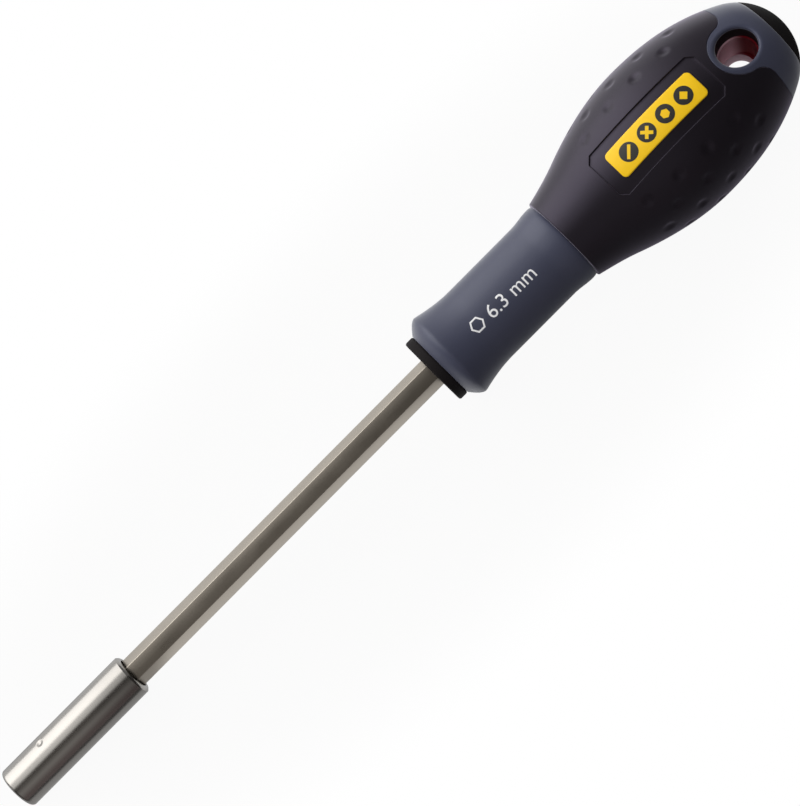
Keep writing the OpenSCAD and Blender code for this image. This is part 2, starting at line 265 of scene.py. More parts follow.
def cubic(t, span, r0, m0, r1, m1):
    """Radius on a cubic from r0 to r1 over a span, with slopes m0 and m1 at its ends."""
    return (
        (2 * t**3 - 3 * t**2 + 1) * r0
        + (t**3 - 2 * t**2 + t) * span * m0
        + (3 * t**2 - 2 * t**3) * r1
        + (t**3 - t**2) * span * m1
    )


def handle_r(x):
    """Radius of the finished handle at x, from the grip's front to the butt."""
    if x < SWELL_X:
        span = SWELL_X - GRIP_X
        return cubic((x - GRIP_X) / span, span, GRIP_FRONT_R, GRIP_FRONT_SLOPE, SWELL_R, SWELL_SLOPE)
    if x < CREST_X:
        span = CREST_X - SWELL_X
        return cubic((x - SWELL_X) / span, span, SWELL_R, SWELL_SLOPE, CREST_R, 0)
    if x < JOIN_X:
        span = JOIN_X - CREST_X
        return cubic((x - CREST_X) / span, span, CREST_R, 0, JOIN_R, JOIN_SLOPE)
    return math.sqrt(max(0, DOME_R**2 - (x - DOME_X) ** 2))


def neck_r(x):
    """Radius of the neck behind its flared lip, to the start of the rear bead."""
    if x > NECK_WAIST_X:
        return NECK_WAIST_R
    span = NECK_WAIST_X - NECK_LIP_X
    return cubic((x - NECK_LIP_X) / span, span, NECK_LIP_R, NECK_TAIL_SLOPE, NECK_WAIST_R, 0)


def stations(start, end, pitch):
    """Places from start to end, about a pitch apart."""
    count = max(1, round(abs(end - start) / pitch))
    return [start + (end - start) * i / count for i in range(count + 1)]


def arc(cx, cr, radius, start, end, count):
    """Points of an arc, with its angles in degrees."""
    angles = [math.radians(a) for a in stations(start, end, abs(end - start) / count)]
    return [(cx + radius * math.cos(a), cr + radius * math.sin(a)) for a in angles]


def cubic_line(x0, r0, m0, x1, r1, m1, pitch=0.4):
    """Points of a cubic outline from x0 to x1."""
    span = x1 - x0
    return [(x, cubic((x - x0) / span, span, r0, m0, r1, m1)) for x in stations(x0, x1, pitch)]


def handle_line(start, end, pitch, inset=0.0):
    """Points of the handle's outline, lowered by an inset."""
    return [(x, handle_r(x) - inset) for x in stations(start, end, pitch)]


# Modelling by hand


def clear_bench():
    """Leaves edit mode and deselects everything, so that an operator meets only its own piece."""
    if bpy.context.object is not None and bpy.context.object.mode != "OBJECT":
        bpy.ops.object.mode_set(mode="OBJECT")
    bpy.ops.object.select_all(action="DESELECT")


def take(piece):
    clear_bench()
    piece.select_set(True)
    bpy.context.view_layer.objects.active = piece
    return piece


def edit(piece):
    """Opens a piece in edit mode with all of it selected."""
    take(piece)
    bpy.ops.object.mode_set(mode="EDIT")
    bpy.ops.mesh.select_all(action="SELECT")


def named(name):
    """Closes edit mode and names the new piece and its mesh."""
    piece = bpy.context.object
    if piece.mode != "OBJECT":
        bpy.ops.object.mode_set(mode="OBJECT")
    piece.name = name
    piece.data.name = name
    return piece


def settle(piece, matrix):
    """Puts a piece in its place and bakes the place into its mesh."""
    take(piece)
    piece.matrix_world = matrix @ piece.matrix_world
    bpy.ops.object.transform_apply(location=True, rotation=True, scale=True)
    return piece


def draw_line(points):
    """A line of vertices, drawn by extruding one vertex from point to point, left in edit mode."""
    clear_bench()
    bpy.ops.mesh.primitive_plane_add(size=MM)
    bpy.ops.object.mode_set(mode="EDIT")
    bpy.ops.mesh.merge(type="CENTER")
    here = Vector((0, 0, 0))
    for i, point in enumerate(points):
        step = Vector(point) * MM - here
        if i == 0:
            bpy.ops.transform.translate(value=step)
        else:
            bpy.ops.mesh.extrude_vertices_move(TRANSFORM_OT_translate={"value": step})
        here = here + step


def close_mesh():
    """Merges what meets and turns the faces outwards, in edit mode."""
    bpy.ops.mesh.select_all(action="SELECT")
    bpy.ops.mesh.remove_doubles(threshold=WELD * MM)
    bpy.ops.mesh.normals_make_consistent(inside=False)


def turned(name, profile, segments, centre=None, axis=(1, 0, 0)):
    """A solid spun from a line of points, about the tool's axis or another.

    Points are (place along the axis, radius) on the tool's axis and (radius, height) on another.
    """
    if centre is None:
        points = [(x, 0, r) for x, r in profile]
        centre = (0, 0, 0)
    else:
        points = [(centre[0] + r, centre[1], centre[2] + h) for r, h in profile]
    draw_line(points)
    bpy.ops.mesh.select_all(action="SELECT")
    middle = [c * MM for c in centre]
    bpy.ops.mesh.spin(steps=segments, angle=math.tau, center=middle, axis=axis)
    close_mesh()
    return named(name)


def rod(radius, x0, x1):
    """A round rod along the tool, to cut with."""
    return turned("rod", [(x0, 0), (x0, radius), (x1, radius), (x1, 0)], TOOL_SIDES)


def hexagon_bar(name, radius, x0, x1):
    """A hexagonal bar along the tool, its flats turned as the bar's are."""
    clear_bench()
    bpy.ops.mesh.primitive_circle_add(vertices=6, radius=radius * MM, fill_type="NGON")
    bpy.ops.object.mode_set(mode="EDIT")
    bpy.ops.mesh.select_all(action="SELECT")
    lift = {"value": (0, 0, (x1 - x0) * MM)}
    bpy.ops.mesh.extrude_region_move(TRANSFORM_OT_translate=lift)
    close_mesh()
    turn = Matrix.Rotation(math.radians(BAR_TURN), 4, "X")
    lay = Matrix.Rotation(math.pi / 2, 4, "Y")
    return settle(named(name), Matrix.Translation((x0 * MM, 0, 0)) @ turn @ lay)


def wing_block(grow):
    """The swaged wings as a block across the bar, grown by a clearance."""
    clear_bench()
    bpy.ops.mesh.primitive_cube_add(size=MM)
    bpy.ops.object.mode_set(mode="EDIT")
    sides = (WING_L + 2 * grow, WING_W + 2 * grow, WING_T + 2 * grow)
    bpy.ops.transform.resize(value=sides)
    bpy.ops.mesh.bevel(offset=WING_EDGE * MM, segments=2)
    turn = Matrix.Rotation(math.radians(BAR_TURN), 4, "X")
    middle = Matrix.Translation(((WING_X + WING_L / 2) * MM, 0, 0))
    return settle(named("wings"), turn @ middle)


def combine(piece, tool, operation="DIFFERENCE"):
    """Cuts a tool out of a piece, or joins or intersects the two, and throws the tool away."""
    take(piece)
    bpy.ops.object.modifier_add(type="BOOLEAN")
    cut = piece.modifiers[-1]
    cut.operation = operation
    cut.solver = "EXACT"
    cut.object = tool
    bpy.ops.object.modifier_apply(modifier=cut.name)
    bpy.data.objects.remove(tool)
    return piece


def press(piece, depth, weight):
    """Presses a piece along its normals by a depth, as strongly as weight says at each vertex."""
    group = piece.vertex_groups.new(name="press")
    for vertex in piece.data.vertices:
        share = weight(vertex.co / MM)
        if share > 0:
            group.add([vertex.index], share, "REPLACE")
    take(piece)
    bpy.ops.object.modifier_add(type="DISPLACE")
    push = piece.modifiers[-1]
    push.vertex_group = group.name
    push.mid_level = 0
    push.strength = -depth * MM
    bpy.ops.object.modifier_apply(modifier=push.name)
    piece.vertex_groups.clear()
    return piece


def slice_up(piece, pitch_x, pitch_y):
    """Cuts a flat piece into strips both ways, so that it can follow a round surface."""
    edit(piece)
    for axis, pitch in ((0, pitch_x), (1, pitch_y)):
        places = [v.co[axis] / MM for v in piece.data.vertices]
        normal = [0, 0, 0]
        normal[axis] = 1
        for place in stations(min(places), max(places), pitch)[1:-1]:
            point = [0, 0, 0]
            point[axis] = place * MM
            bpy.ops.mesh.select_all(action="SELECT")
            bpy.ops.mesh.bisect(plane_co=point, plane_no=normal)
    bpy.ops.object.mode_set(mode="OBJECT")
    return piece


def lay_round(piece, radius_at):
    """Lays a flat piece on a round form: its height becomes height over the radius at its place."""
    for vertex in piece.data.vertices:
        x, y, height = vertex.co / MM
        vertex.co.z = math.sqrt(max(0, (radius_at(x) + height) ** 2 - y * y)) * MM
    piece.data.update()
    return piece


def turn_over(piece):
    """Turns a piece to the handle's back."""
    return settle(piece, Matrix.Rotation(math.pi, 4, "X"))


def smooth(piece, degrees=35):
    """Merges the slivers that cutting leaves and shades smooth up to an angle between faces."""
    edit(piece)
    bpy.ops.mesh.remove_doubles(threshold=WELD * MM)
    bpy.ops.mesh.dissolve_degenerate(threshold=WELD * MM)
    take(piece)
    bpy.ops.object.shade_smooth_by_angle(angle=math.radians(degrees))
    return piece


def fit(piece, finish, slot, *nodes):
    """Gives a piece its finish and its place on the tool, and hides the nodes that it replaces."""
    piece.data.materials.clear()
    piece.data.materials.append(finish)
    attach(piece, "root")
    if nodes:
        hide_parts(*nodes)
    return piece


# Shaders


class Wire:
    """A shader value: Python sums on it add Math nodes to its tree."""

    def __init__(self, tree, socket=None):
        self.tree = tree
        self.socket = socket

    def node(self, kind, settings=None, inputs=None, output=0):
        """Adds a node of a type: its settings first, then the values or links of its sockets."""
        made = self.tree.nodes.new(kind)
        for key, value in (settings or {}).items():
            if key == "stops":
                ramp = made.color_ramp.elements
                while len(ramp) < len(value):
                    ramp.new(0.5)
                for stop, (place, tone) in zip(ramp, value):
                    stop.position = place
                    stop.color = tone
            else:
                setattr(made, key, value)
        for key, value in (inputs or {}).items():
            if isinstance(value, Wire):
                self.tree.links.new(value.socket, made.inputs[key])
            else:
                made.inputs[key].default_value = value
        return Wire(self.tree, made.outputs[output] if made.outputs else None)

    def sum(self, operation, a, b):
        return self.node("ShaderNodeMath", {"operation": operation}, {0: a, 1: b})

    def __add__(self, other):
        return self.sum("ADD", self, other)

    def __radd__(self, other):
        return self.sum("ADD", other, self)

    def __sub__(self, other):
        return self.sum("SUBTRACT", self, other)

    def __rsub__(self, other):
        return self.sum("SUBTRACT", other, self)

    def __mul__(self, other):
        return self.sum("MULTIPLY", self, other)

    def __truediv__(self, other):
        return self.sum("DIVIDE", self, other)

    def span(self, low, high, to_low=0.0, to_high=1.0):
        """Smoothly takes the value from low and high to another range."""
        inputs = {"Value": self, "From Min": low, "From Max": high, "To Min": to_low, "To Max": to_high}
        return self.node("ShaderNodeMapRange", {"interpolation_type": "SMOOTHSTEP"}, inputs)

    def blend(self, tone_a, tone_b):
        """A colour between two others, by this value."""
        return self.node("ShaderNodeMix", {"data_type": "RGBA"}, {0: self, 6: tone_a, 7: tone_b}, 2)


def place_on(pen, scale=(1, 1, 1)):
    """Object coordinates, stretched by a scale."""
    where = pen.node("ShaderNodeTexCoord", output="Object")
    return pen.node("ShaderNodeMapping", {}, {"Vector": where, "Scale": scale})


def grain(pen, scale, detail):
    """Noise whose grains are 1 / scale of a metre, given for each axis."""
    inputs = {"Vector": place_on(pen, scale), "Scale": 1.0, "Detail": detail}
    return pen.node("ShaderNodeTexNoise", {}, inputs)


def bumped(pen, height, distance, strength):
    """A normal bumped by a height that is a share of a distance in millimetres."""
    inputs = {"Height": height, "Distance": distance * MM, "Strength": strength}
    return pen.node("ShaderNodeBump", {}, inputs)


def finish_of(name, make):
    """A material whose principled sockets come from make(pen)."""
    material = bpy.data.materials.new(name)
    material.use_nodes = True
    material.node_tree.nodes.clear()
    pen = Wire(material.node_tree)
    surface = pen.node("ShaderNodeBsdfPrincipled", {}, make(pen))
    pen.node("ShaderNodeOutputMaterial", {}, {"Surface": surface})
    return material


def drawn_bar(pen):
    """Satin drawn steel: fine lines along the bar and soft cloudy patches."""
    lines = grain(pen, (40, 9000, 9000), 4)
    clouds = grain(pen, (120, 320, 320), 3)
    tone = (lines * 0.5 + clouds * 0.5).blend((0.33, 0.3, 0.258, 1), (0.42, 0.383, 0.333, 1))
    return {
        "Base Color": tone,
        "Metallic": 1.0,
        "Roughness": 0.22 + clouds * 0.1 + lines * 0.06,
        "Normal": bumped(pen, lines, 0.004, 0.5),
    }


def turned_sleeve(pen):
    """Satin turned steel: fine rings round the sleeve."""
    rings = grain(pen, (7000, 90, 90), 4)
    clouds = grain(pen, (200, 260, 260), 3)
    tone = (rings * 0.4 + clouds * 0.6).blend((0.285, 0.275, 0.261, 1), (0.352, 0.34, 0.323, 1))
    return {
        "Base Color": tone,
        "Metallic": 1.0,
        "Roughness": 0.18 + clouds * 0.06 + rings * 0.06,
        "Normal": bumped(pen, rings, 0.004, 0.5),
    }


def dull_magnet(pen):
    """Sintered magnet with a dull plated face."""
    specks = grain(pen, (3000, 3000, 3000), 4)
    return {
        "Base Color": specks.blend((0.22, 0.22, 0.23, 1), (0.4, 0.4, 0.41, 1)),
        "Metallic": 0.9,
        "Roughness": 0.45 + specks * 0.2,
        "Normal": bumped(pen, specks, 0.01, 0.4),
    }


def oiled_spring(pen):
    """Dark spring wire with a film of oil."""
    streaks = grain(pen, (2500, 900, 900), 3)
    return {
        "Base Color": streaks.blend((0.16, 0.16, 0.17, 1), (0.34, 0.34, 0.35, 1)),
        "Metallic": 1.0,
        "Roughness": 0.22 + streaks * 0.15,
    }


def soft_touch(dark, pale, gloss_tint, sheen):
    """Soft rubbery moulding with a fine spark-eroded texture, in a tone between two."""

    def make(pen):
        pores = grain(pen, (5200, 5200, 5200), 2)
        clouds = grain(pen, (90, 140, 140), 4)
        return {
            "Base Color": clouds.blend(dark, pale),
            "Roughness": 0.32 + clouds * 0.08 + pores * 0.08,
            "Specular IOR Level": 0.42,
            "Specular Tint": gloss_tint,
            "Sheen Weight": sheen,
            "Sheen Roughness": 0.35,
            "Sheen Tint": gloss_tint,
            "Normal": bumped(pen, pores, 0.02, 0.35),
        }

    return make


def hard_black(pen):
    """Hard black moulding, satin, with faint flow marks."""
    flow = grain(pen, (160, 420, 420), 4)
    pores = grain(pen, (4200, 4200, 4200), 2)
    return {
        "Base Color": flow.blend((0.0105, 0.0092, 0.0101, 1), (0.014, 0.0123, 0.0132, 1)),
        "Roughness": 0.6 + flow * 0.1,
        "Specular IOR Level": 0.08,
        "Normal": bumped(pen, pores, 0.012, 0.3),
    }


def red_core(pen):
    """Dark red hard core; in the hanging hole, painted shade turns it black at the upper mouth and painted
    light turns it pale pink toward the tip and below the low ledge.
    """
    flow = grain(pen, (300, 300, 120), 3)
    along = pen.node("ShaderNodeSeparateXYZ", {}, {0: place_on(pen)}, 0)
    height = pen.node("ShaderNodeSeparateXYZ", {}, {0: place_on(pen)}, 2)
    # Painted shade: the core turns black above the upper ledge, at the mouth that faces up
    mouth = height.span((LEDGE_Z + 0.05) * MM, (LEDGE_Z + 0.4) * MM)
    # Painted light and shade: between the ledges the wall is pale pink on its lit side toward the tip and
    # dark red on its shaded side toward the butt
    shaded_side = along.span((HOLE_X + 0.9) * MM, (HOLE_X + 3.9) * MM)
    # Painted light from below: the bore turns pale pink under the low ledge
    low = height.span(LOW_LEDGE_Z * MM, (LOW_LEDGE_Z - 0.15) * MM)
    red = flow.blend((0.16, 0.009, 0.015, 1), (0.21, 0.013, 0.02, 1))
    # Pale pink of the painted lit side
    painted_lit_pink = flow.blend((0.72, 0.45, 0.53, 1), (0.8, 0.52, 0.6, 1))
    wall = low.blend(shaded_side.blend(painted_lit_pink, red), (0.5, 0.37, 0.42, 1))
    return {
        "Base Color": mouth.blend(wall, (0.014, 0.009, 0.011, 1)),
        "Roughness": 0.5 + flow * 0.12,
        "Specular IOR Level": 0.03,
    }


def yellow_plate(pen):
    """Yellow inlay, smooth with a faint orange peel."""
    peel = grain(pen, (900, 900, 900), 3)
    return {
        "Base Color": peel.blend((0.95, 0.585, 0.010, 1), (0.99, 0.625, 0.014, 1)),
        "Roughness": 0.32 + peel * 0.06,
        "Specular IOR Level": 0.3,
        "Normal": bumped(pen, peel, 0.01, 0.2),
    }


def dark_ink(pen):
    specks = grain(pen, (2600, 2600, 2600), 3)
    return {
        "Base Color": specks.blend((0.012, 0.011, 0.01, 1), (0.022, 0.02, 0.018, 1)),
        "Roughness": 0.4 + specks * 0.15,
    }


def white_ink(pen):
    specks = grain(pen, (2600, 2600, 2600), 3)
    return {
        "Base Color": specks.blend((0.88, 0.89, 0.92, 1), (0.96, 0.97, 0.99, 1)),
        "Roughness": 0.45 + specks * 0.15,
    }


# Soft mouldings: dark and pale tone, tint of the gloss and weight of the sheen
GREY = [(0.048, 0.0525, 0.087, 1), (0.056, 0.0605, 0.098, 1), (0.9, 0.93, 1, 1), 0.7]
BLACK = [(0.0066, 0.0052, 0.0068, 1), (0.0084, 0.0068, 0.0086, 1), (0.82, 0.74, 1, 1), 0.6]
GREY_SOFT = finish_of("grey_soft_touch", soft_touch(*GREY))
BLACK_SOFT = finish_of("black_soft_touch", soft_touch(*BLACK))
BLACK_HARD = finish_of("hard_black", hard_black)


# Steel tip


def make_bar():
    bar = hexagon_bar("bar", BAR_R, BAR_X, BAR_END)
    edit(bar)
    bpy.ops.mesh.select_all(action="DESELECT")
    bpy.ops.object.mode_set(mode="OBJECT")
    for edge in bar.data.edges:
        a, b = (bar.data.vertices[i].co for i in edge.vertices)
        edge.select = abs(a.x - b.x) > MM
    bpy.ops.object.mode_set(mode="EDIT")
    bpy.ops.mesh.select_mode(type="EDGE")
    bpy.ops.mesh.bevel(offset=BAR_EDGE * MM, segments=3)
    bpy.ops.mesh.select_mode(type="VERT")
    bpy.ops.object.mode_set(mode="OBJECT")
    combine(bar, wing_block(0), "UNION")
    smooth(bar, 25)
    fit(bar, finish_of("drawn_bar", drawn_bar), "bar_steel", "hex_shaft")


def stake_weight(co):
    """Weight of the stake mark at a vertex of the sleeve, a smooth round dent."""
    x, y, z = co
    if math.hypot(y, z) < SLEEVE_R - SKIN:
        return 0
    round_way = SLEEVE_R * (math.atan2(y, z) - math.radians(STAKE_TURN))
    away = math.hypot(x - STAKE_X, round_way) / STAKE_R
    return (1 - away * away) ** 2 if away < 1 else 0


def make_sleeve():
    wall = arc(MOUTH_ROUND, SLEEVE_R - MOUTH_ROUND, MOUTH_ROUND, 180, 90, 10)
    near = [(x, SLEEVE_R) for x in stations(STAKE_X - STAKE_FIELD, STAKE_X + STAKE_FIELD, STAKE_PITCH)]
    rear = [(SLEEVE_L - ahead, SLEEVE_R - inward) for ahead, inward in REAR_EDGE]
    sleeve = turned("sleeve", [(0, 0)] + wall + near + rear + [(SLEEVE_L, 0)], SLEEVE_SIDES)
    press(sleeve, STAKE_DEPTH, stake_weight)
    combine(sleeve, hexagon_bar("socket", SOCKET_R, -PAST, SOCKET_DEPTH))
    lead = [(-PAST, 0), (-PAST, SOCKET_R + MOUTH_LEAD + PAST), (LEAD_X, LEAD_END_R), (LEAD_X, 0)]
    combine(sleeve, turned("lead", lead, TOOL_SIDES))
    groove_r = RING_R + RING_WIRE_R + RING_PLAY
    groove_half = RING_WIRE_R + RING_PLAY
    combine(sleeve, rod(groove_r, RING_X - groove_half, RING_X + groove_half))
    combine(sleeve, rod(MAGNET_R + SEAT_GAP, SOCKET_DEPTH - PAST, BAR_X + SEAT_GAP))
    combine(sleeve, hexagon_bar("seat", BAR_R + SEAT_GAP, BAR_X, SLEEVE_L + PAST))
    combine(sleeve, rod(REAR_RECESS_R, SLEEVE_L - REAR_RECESS_L, SLEEVE_L + PAST))
    smooth(sleeve, 30)
    fit(sleeve, finish_of("turned_sleeve", turned_sleeve), "sleeve_steel", "socket_sleeve")


def make_magnet():
    low = MAGNET_R - MAGNET_ROUND
    front = arc(SOCKET_DEPTH + MAGNET_ROUND, low, MAGNET_ROUND, 180, 90, 5)
    rear = arc(BAR_X - MAGNET_ROUND, low, MAGNET_ROUND, 90, 0, 5)
    magnet = turned("magnet_slug", [(SOCKET_DEPTH, 0)] + front + rear + [(BAR_X, 0)], MAGNET_SIDES)
    smooth(magnet)
    fit(magnet, finish_of("dull_magnet", dull_magnet), "magnet", "socket_magnet")


def make_ring():
    clear_bench()
    bpy.ops.mesh.primitive_circle_add(vertices=16, radius=RING_WIRE_R * MM, fill_type="NGON")
    ring = settle(named("spring_ring"), Matrix.Rotation(math.pi / 2, 4, "X"))
    settle(ring, Matrix.Translation((RING_X * MM, 0, -RING_R * MM)))
    edit(ring)
    sweep = math.radians(360 - RING_GAP)
    bpy.ops.mesh.spin(steps=72, angle=sweep, center=(0, 0, 0), axis=(1, 0, 0))
    close_mesh()
    bpy.ops.object.mode_set(mode="OBJECT")
    smooth(ring)
    fit(ring, finish_of("oiled_spring", oiled_spring), "spring_steel", "bit_retaining_ring")


# Handle


def make_collar():
    low = COLLAR_R - COLLAR_ROUND
    front = arc(COLLAR_X + COLLAR_ROUND, low, COLLAR_ROUND, 180, 90, 6)
    rear = arc(NECK_X - COLLAR_ROUND, low, COLLAR_ROUND, 90, 0, 6)
    collar = turned("collar", [(COLLAR_X, 0)] + front + rear + [(NECK_X, 0)], PLAIN_SIDES)
    combine(collar, hexagon_bar("bar_way", BAR_R + SEAT_GAP, COLLAR_X - PAST, NECK_X + PAST))
    smooth(collar, 30)
    fit(collar, BLACK_HARD, "black_hard", "nose_collar")


def make_neck():
    bead_x = GRIP_X - NECK_BEAD_L
    back, down = NECK_FRONT_EDGE
    profile = [(NECK_X, CORE_NECK_R), (NECK_X, NECK_FRONT_R - down)]
    flare = (NECK_X + back, NECK_FRONT_R, NECK_FRONT_SLOPE, NECK_LIP_X, NECK_LIP_R, 0)
    profile += cubic_line(*flare, pitch=0.2)[:-1]
    profile += [(x, neck_r(x)) for x in stations(NECK_LIP_X, NECK_WAIST_X, 0.3)][1:]
    profile += cubic_line(bead_x - NECK_BEAD_RISE, NECK_WAIST_R, 0, bead_x, NECK_BEAD_R, 0)
    profile += [(GRIP_X - ahead, NECK_BEAD_R - fall) for ahead, fall in NECK_BEAD_END]
    profile += [(GRIP_X, CORE_NECK_R), (NECK_X, CORE_NECK_R)]
    neck = turned("neck", profile, NECK_SIDES)
    smooth(neck, 40)
    fit(neck, GREY_SOFT, "grey_soft", "neck_sleeve")


def across_handle(name, profile):
    """A solid turned on the hanging hole's axis and drawn slightly oval along the tool."""
    tool = turned(name, profile, HOLE_SIDES, centre=(HOLE_X, 0, 0), axis=(0, 0, 1))
    edit(tool)
    bpy.ops.transform.resize(value=(HOLE_OVAL, 1, 1), center_override=(HOLE_X * MM, 0, 0))
    return named(name)


def lip_tool():
    """A tool for one mouth of the hanging hole: its rounded lip follows the handle's curve."""
    low = -12
    high = 7
    lip = arc(LIP_R + LIP_ROUND, -LIP_ROUND, LIP_ROUND, 180, LIP_LEAVE, 14)
    end_r, end_h = lip[-1]
    flare = math.tan(math.radians(LIP_LEAVE - 90))
    rim_r = LIP_R + RIM_WALL
    outer_r = LIP_R + LIP_ROUND + LIP_SPARE
    profile = [(0, low), (rim_r, low), (rim_r, -LIP_ROUND)] + lip
    profile += [(outer_r, end_h + (outer_r - end_r) * flare), (outer_r, high), (0, high)]
    return lay_round(across_handle("lip", profile), handle_r)


def core_rim():
    """The core's rim in one mouth of the hanging hole, from the core up to the saddle's lip."""
    radius = LIP_R + RIM_WALL - SEAT_GAP
    top = -LIP_ROUND - SEAT_GAP
    profile = [(0, -RIM_DEPTH), (radius, -RIM_DEPTH), (radius, top), (0, top)]
    return lay_round(across_handle("rim", profile), handle_r)


def make_core():
    profile = [(NECK_X, 0), (NECK_X, CORE_NECK_R), (GRIP_X, CORE_NECK_R)]
    profile += handle_line(GRIP_X, CAP_X, 1.0, SOFT_WALL) + [(CAP_X, 0)]
    core = turned("core", profile, PLAIN_SIDES)
    combine(core, hexagon_bar("bar_way", BAR_R + SEAT_GAP, NECK_X - PAST, BAR_END + SEAT_GAP))
    combine(core, wing_block(SEAT_GAP))
    combine(core, rod(CAP_SPIGOT_R + SEAT_GAP, CAP_X - CAP_SPIGOT_L - SEAT_GAP, CAP_X + PAST))
    combine(core, core_rim(), "UNION")
    combine(core, turn_over(core_rim()), "UNION")
    bore = [(0, LOW_LEDGE_Z), (BORE_R, LOW_LEDGE_Z), (BORE_R, LEDGE_Z - LEDGE_ROUND), (LIP_R, LEDGE_Z)]
    combine(core, across_handle("bore", bore + [(LIP_R, BORE_END), (0, BORE_END)]))
    top = LOW_LEDGE_Z + PAST
    low_bore = [(0, -BORE_END), (HOLE_R, -BORE_END), (HOLE_R, top), (0, top)]
    combine(core, turned("low_bore", low_bore, HOLE_SIDES, centre=(HOLE_X, 0, 0), axis=(0, 0, 1)))
    smooth(core)
    fit(core, finish_of("red_core", red_core), "core_red", "handle_core")


def saddle_outline():
    """Plan of the saddle's front edge on one side: ring, lobe and straight edge, as (x, y)."""
    lobe_x = SADDLE_X - LOBE_R
    lobe_y = math.sqrt((SADDLE_RING_R + LOBE_R) ** 2 - (lobe_x - HOLE_X) ** 2)
    meet = math.degrees(math.atan2(lobe_y, lobe_x - HOLE_X))
    ring = arc(HOLE_X, 0, SADDLE_RING_R, 180, meet, 36)
    lobe = arc(lobe_x, lobe_y, LOBE_R, meet - 180, 0, 20)
    return ring + lobe[1:]


def saddle_block():
    """A tall block with the saddle's plan."""
    reach = 30
    half = saddle_outline() + [(SADDLE_X, reach), (BUTT_X + PAST, reach)]
    other = [(x, -y) for x, y in reversed(half)][:-1]
    draw_line([(x, y, -reach) for x, y in half + other])
    bpy.ops.mesh.select_all(action="SELECT")
    bpy.ops.mesh.edge_face_add()
    bpy.ops.mesh.extrude_region_move(TRANSFORM_OT_translate={"value": (0, 0, 2 * reach * MM)})
    close_mesh()
    return named("saddle_block")


def seam_tool():
    """A thin round wire along the line where grip and saddle meet, to cut their seam."""
    outline = saddle_outline()
    side_r = handle_r(SADDLE_X)
    start = math.asin(outline[-1][1] / side_r)
    front = [(x, y, math.sqrt(handle_r(x) ** 2 - y * y)) for x, y in outline]
    round_way = [math.radians(a) for a in stations(math.degrees(start), 90, 1.5)][1:]
    front += [(SADDLE_X, side_r * math.sin(a), side_r * math.cos(a)) for a in round_way]
    quarter = front + [(x, y, -z) for x, y, z in reversed(front)][1:]
    whole = quarter + [(x, -y, z) for x, y, z in reversed(quarter)][1:]
    draw_line(whole)
    close_mesh()
    seam = named("seam")
    take(seam)
    bpy.ops.object.convert(target="CURVE")
    seam = bpy.context.object
    seam.data.bevel_depth = SEAM_R * MM
    seam.data.bevel_resolution = 2
    bpy.ops.object.convert(target="MESH")
    seam = bpy.context.object
    edit(seam)
    close_mesh()
    return named("seam")


def dimple_weight(co):
    """Weight of the grip's dimples at a vertex: smooth round hollows in staggered rows."""
    x, y, z = co
    radius = math.hypot(y, z)
    if x < DIMPLE_X - DIMPLE_REACH or radius < handle_r(x) - SKIN:
        return 0
    turn = abs(math.degrees(math.atan2(y, z)))
    row_turn = (180 - 2 * DIMPLE_TURN) / (DIMPLE_ROWS - 1)
    best = 0
    for row in range(DIMPLE_ROWS):
        across = radius * math.radians(turn - DIMPLE_TURN - row * row_turn)
        if abs(across) > DIMPLE_REACH:
            continue
        first = DIMPLE_X + row % 2 * DIMPLE_PITCH / 2
        step = min(DIMPLE_COUNT - 1, max(0, round((x - first) / DIMPLE_PITCH)))
        away = math.hypot(x - first - step * DIMPLE_PITCH, across) / DIMPLE_REACH
        if away < 1:
            best = max(best, (1 - away * away) ** 2)
    return best


def flat_plan(length, width, corner, segments):
    """A flat plate with cut or round corners over the panel's middle, in edit mode."""
    clear_bench()
    bpy.ops.mesh.primitive_plane_add(size=MM)
    bpy.ops.object.mode_set(mode="EDIT")
    bpy.ops.mesh.select_all(action="SELECT")
    bpy.ops.transform.resize(value=(length, width, 1))
    bpy.ops.transform.translate(value=(PANEL_X * MM, 0, 0))
    bpy.ops.mesh.bevel(offset=corner * MM, segments=segments, affect="VERTICES")
    bpy.ops.mesh.select_all(action="SELECT")


def panel_tool():
    """A tool for the recessed panel, with rounded upper and lower edges, laid on the handle."""
    length = PANEL_L + 2 * PANEL_FLARE
    width = PANEL_W + 2 * PANEL_FLARE
    flat_plan(length, width, PANEL_CORNER + 0.6 * PANEL_FLARE, 1)
    bpy.ops.transform.translate(value=(0, 0, PANEL_LIFT * MM))
    for inward, down in PANEL_STEPS:
        bpy.ops.mesh.inset(thickness=inward * MM, depth=-down * MM)
    bpy.ops.mesh.select_all(action="SELECT")
    bpy.ops.mesh.region_to_loop()
    bpy.ops.mesh.extrude_edges_move(TRANSFORM_OT_translate={"value": (0, 0, PANEL_TOOL_H * MM)})
    bpy.ops.mesh.edge_face_add()
    close_mesh()
    tool = slice_up(named("panel"), 0.6, 0.6)
    return lay_round(tool, handle_r)


def make_grip():
    low = GRIP_FRONT_R - GRIP_EDGE_DROP
    edge = arc(GRIP_X + GRIP_EDGE, low, GRIP_EDGE, 180, GRIP_EDGE_LEAVE, 6)
    outer = handle_line(GRIP_X + GRIP_EDGE_L, GRIP_TAIL_X, 0.36)
    inner = handle_line(GRIP_TAIL_X, GRIP_X, 3.0, SOFT_WALL)
    profile = edge + outer + inner + edge[:1]
    grip = turned("grip", profile, FINE_SIDES)
    press(grip, DIMPLE_DEPTH, dimple_weight)
    combine(grip, saddle_block())
    combine(grip, seam_tool())
    combine(grip, panel_tool())
    combine(grip, turn_over(panel_tool()))
    smooth(grip, 40)
    fit(grip, BLACK_SOFT, "black_soft", "grip_shell")


